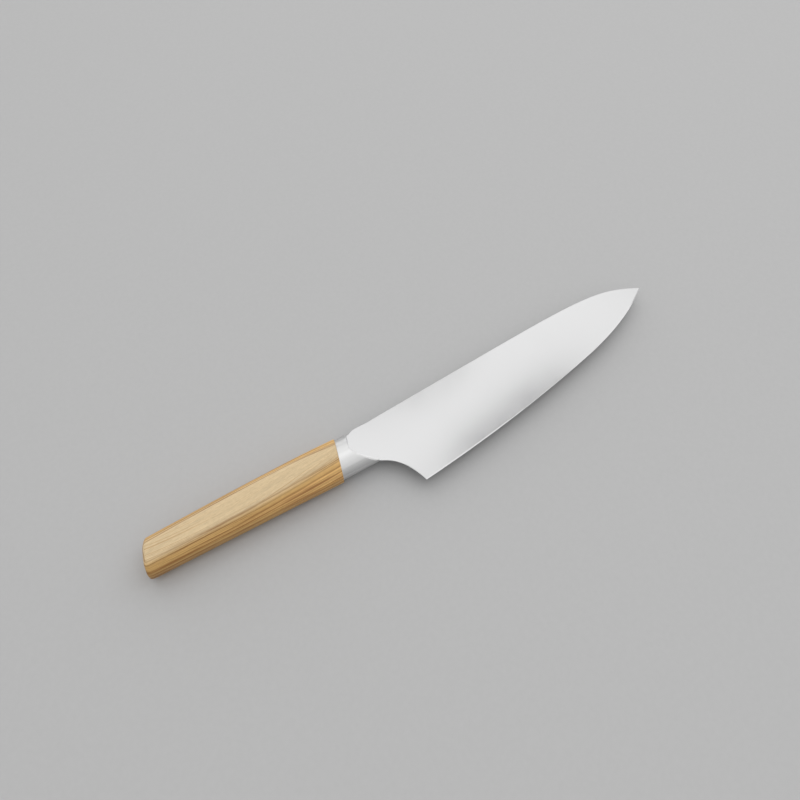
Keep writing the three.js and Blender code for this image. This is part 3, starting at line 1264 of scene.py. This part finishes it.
        rim = face(0.0)
        side = rim - rear
        fall = rear.z - land
        reach = min(self.along(v, self.rim_round), self.rim_share * fall, self.rim_share * side.length)
        turn_in = reach / fall if fall else 0.0
        start, end = rim - side.normalized() * reach, face(turn_in)
        line = [rear.lerp(start, t) for t in shares(self.tube_rows)]
        line += [start.lerp(rim, t).lerp(rim.lerp(end, t), t) for t in shares(self.rim_rows)[1:]]
        line += [face(turn_in + (1 - turn_in) * t) for t in shares(self.wall_rows)[1:]]
        return line + [sunk(t) for t in shares(self.sunk_rows)[1:]]

    def build(self, datum: Datum, blade: Blade, handle: Handle) -> None:
        """Sweeps one half of the collar, mirrors it and closes its rear.

        Args:
            datum: The drawing's zero.
            blade: The blade that passes through the collar.
            handle: The handle that the collar is seated on.
        """
        bm = bmesh.new()
        ring = self.half_ring(handle)
        rims = [self.rim_at(place, blade, handle) for place in ring]
        faces = [self.scoop_at(v, p.z, blade) for v, p in zip(rims, ring)]
        walked = [0.0]
        for start, end in zip(faces, faces[1:]):
            walked.append(walked[-1] + (end - start).length)
        feet = [rims[0] + (rims[-1] - rims[0]) * w / walked[-1] for w in walked]
        columns = [self.column(*each, blade) for each in zip(ring, rims, feet)]
        rows = list(zip(*columns))
        skin = Sweep(bm, rows[0], closed=False)
        for row in rows[1:]:
            skin.extend(row)
        half = [*bm.verts, *bm.edges, *bm.faces]
        bmesh.ops.mirror(bm, geom=half, axis="Z", merge_dist=datum.MERGE)
        bmesh.ops.remove_doubles(bm, verts=bm.verts, dist=datum.MERGE)
        rear = [e for e in bm.edges if e.is_boundary]
        bmesh.ops.edgeloop_fill(bm, edges=rear)
        self.piece = datum.place(bm, "steel_bolster", Shade.SOFT)

    def dress(self, datum: Datum) -> None:
        """Gives the bolster its finish and its place on the body.

        Args:
            datum: The drawing's zero.
        """
        self.piece.data.materials.append(BOLSTER_STEEL.material(datum))
        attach(self.piece, BODY)
        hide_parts("bolster")


@dataclass
class TangBond:
    """The cured adhesive in the bore, which keeps its solid and gets a finish."""

    node: str = "tang_bond"
    piece: bpy.types.Object | None = None

    def dress(self, datum: Datum) -> None:
        """Gives the adhesive its finish.

        Args:
            datum: The drawing's zero.
        """
        self.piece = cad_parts[self.node]
        self.piece.data.materials.clear()
        self.piece.data.materials.append(CuredResin().material(datum))


@dataclass(frozen=True)
class Panel:
    """A level soft panel hung from the ceiling."""

    name: str
    centre: Point
    size: Point
    radiance: float

    def hang(self, height: float) -> None:
        """Adds the panel to the scene, facing down.

        Args:
            height: Height of the ceiling.
        """
        lamp = bpy.data.lights.new(self.name, "AREA")
        lamp.shape = "RECTANGLE"
        lamp.size, lamp.size_y = self.size
        lamp.energy = self.radiance * math.pi * self.size[0] * self.size[1]
        panel = bpy.data.objects.new(self.name, lamp)
        panel.location = (*self.centre, height)
        bpy.context.scene.collection.objects.link(panel)


@dataclass
class Studio:
    """Floor, soft light and the camera at the photograph's viewing angle."""

    floor_radius: float = 4.0
    sky_high: float = 0.56
    sky_far: float = 1.25
    sky_near: float = 0.37
    sky_sides: Point = (-0.8, 0.9)
    sky_rise: Point = (0.05, 0.85)
    bright_side: Triple = (0.6, 0.8, 0.0)
    ceiling: float = 1.3
    panels: tuple[Panel, ...] = (
        Panel("far_panel", (0.995, 1.175), (0.69, 1.5), 0.80),
        Panel("side_panel", (1.87, 1.0625), (0.50, 1.725), 0.80),
        Panel("middle_panel", (0.075, 0.51), (1.15, 0.22), 0.85),
        Panel("back_panel", (0.475, 1.2725), (0.35, 1.305), 0.40),
        Panel("butt_panel", (-0.10, 1.2725), (0.80, 1.305), 0.72),
        Panel("front_panel", (1.09, 0.3125), (0.50, 0.225), 0.80),
        Panel("rear_panel", (0.11, 0.255), (0.70, 0.29), 0.55),
        Panel("top_panel", (0.60, -0.20), (3.0, 0.62), 0.86),
        Panel("near_panel", (0.30, -0.68), (2.2, 0.34), 0.48),
    )
    camera_place: Triple = (-0.1171, -0.1454, 0.3416)
    camera_aim: Triple = (-0.0021, 0.0257, 0.0)
    camera_roll: float = math.radians(-0.2)
    focal_pixels: float = 717.5
    photo_pixels: float = 800.0
    sensor: float = 36.0
    nearest: float = 0.01
    floor_segments: int = 96
    drop: float = 0.02 * MM

    def build(self, datum: Datum) -> None:
        """Builds the whole studio.

        Args:
            datum: The drawing's zero.
        """
        self._floor(datum)
        self._sky()
        for panel in self.panels:
            panel.hang(self.ceiling)
        self._camera()
        bpy.context.scene.view_settings.view_transform = "Standard"

    def _floor(self, datum: Datum) -> None:
        """Lays the floor just under the knife.

        Args:
            datum: The drawing's zero.
        """
        bm = bmesh.new()
        bmesh.ops.create_circle(
            bm, cap_ends=True, radius=self.floor_radius, segments=self.floor_segments
        )
        bmesh.ops.translate(bm, vec=(0.0, 0.0, -self.drop), verts=bm.verts)
        mesh = bpy.data.meshes.new("floor")
        bm.to_mesh(mesh)
        bm.free()
        floor = bpy.data.objects.new("floor", mesh)
        floor.data.materials.append(PaleFloor().material(datum))
        bpy.context.scene.collection.objects.link(floor)

    def _sky(self) -> None:
        """Lights the room softly, brighter low down behind the spine than on the camera's side."""
        world = bpy.data.worlds.new("soft_room")
        world.use_nodes = True
        bpy.context.scene.world = world
        graph = Graph(world.node_tree)
        towards = graph.node("TexCoord", {}).outputs["Generated"]
        up = graph.node("SeparateXYZ", {0: towards}).outputs["Z"]
        sides = {0: towards, 1: self.bright_side}
        side = graph.node("VectorMath", sides, operation="DOT_PRODUCT").outputs["Value"]
        low = graph.between(side, *self.sky_sides, self.sky_near, self.sky_far)
        high = graph.between(up, *self.sky_rise)
        drop = graph.math("MULTIPLY", high, graph.math("SUBTRACT", self.sky_high, low))
        glow = graph.math("ADD", low, drop)
        back = world.node_tree.nodes["Background"]
        graph.feed(back, {"Color": (1.0, 1.0, 1.0, 1.0), "Strength": glow})

    def _camera(self) -> None:
        """Puts the camera where the photograph was taken from."""
        lens = bpy.data.cameras.new("camera")
        lens.sensor_width = self.sensor
        lens.lens = self.sensor * self.focal_pixels / self.photo_pixels
        lens.clip_start = self.nearest
        camera = bpy.data.objects.new("camera", lens)
        gaze = Vector(self.camera_aim) - Vector(self.camera_place)
        roll = Matrix.Rotation(self.camera_roll, 4, "Z")
        turn = gaze.to_track_quat("-Z", "Y").to_matrix().to_4x4() @ roll
        camera.matrix_world = Matrix.Translation(self.camera_place) @ turn
        bpy.context.scene.collection.objects.link(camera)
        bpy.context.scene.camera = camera


def main() -> None:
    """Builds and dresses the knife, then the studio round it."""
    logging.basicConfig(level=logging.INFO, format="%(name)s: %(message)s")
    handle, blade, bolster, bond = Handle(), Blade(), Bolster(), TangBond()
    datum = Datum.from_frame(blade.tip[0], blade.heel[1])
    handle.build(datum)
    blade.build(datum, handle)
    bolster.build(datum, blade, handle)
    for part in (handle, blade, bolster, bond):
        part.dress(datum)
        LOG.info("%s: %d faces", part.piece.name, len(part.piece.data.polygons))
    Studio().build(datum)


if __name__ == "__main__":
    main()
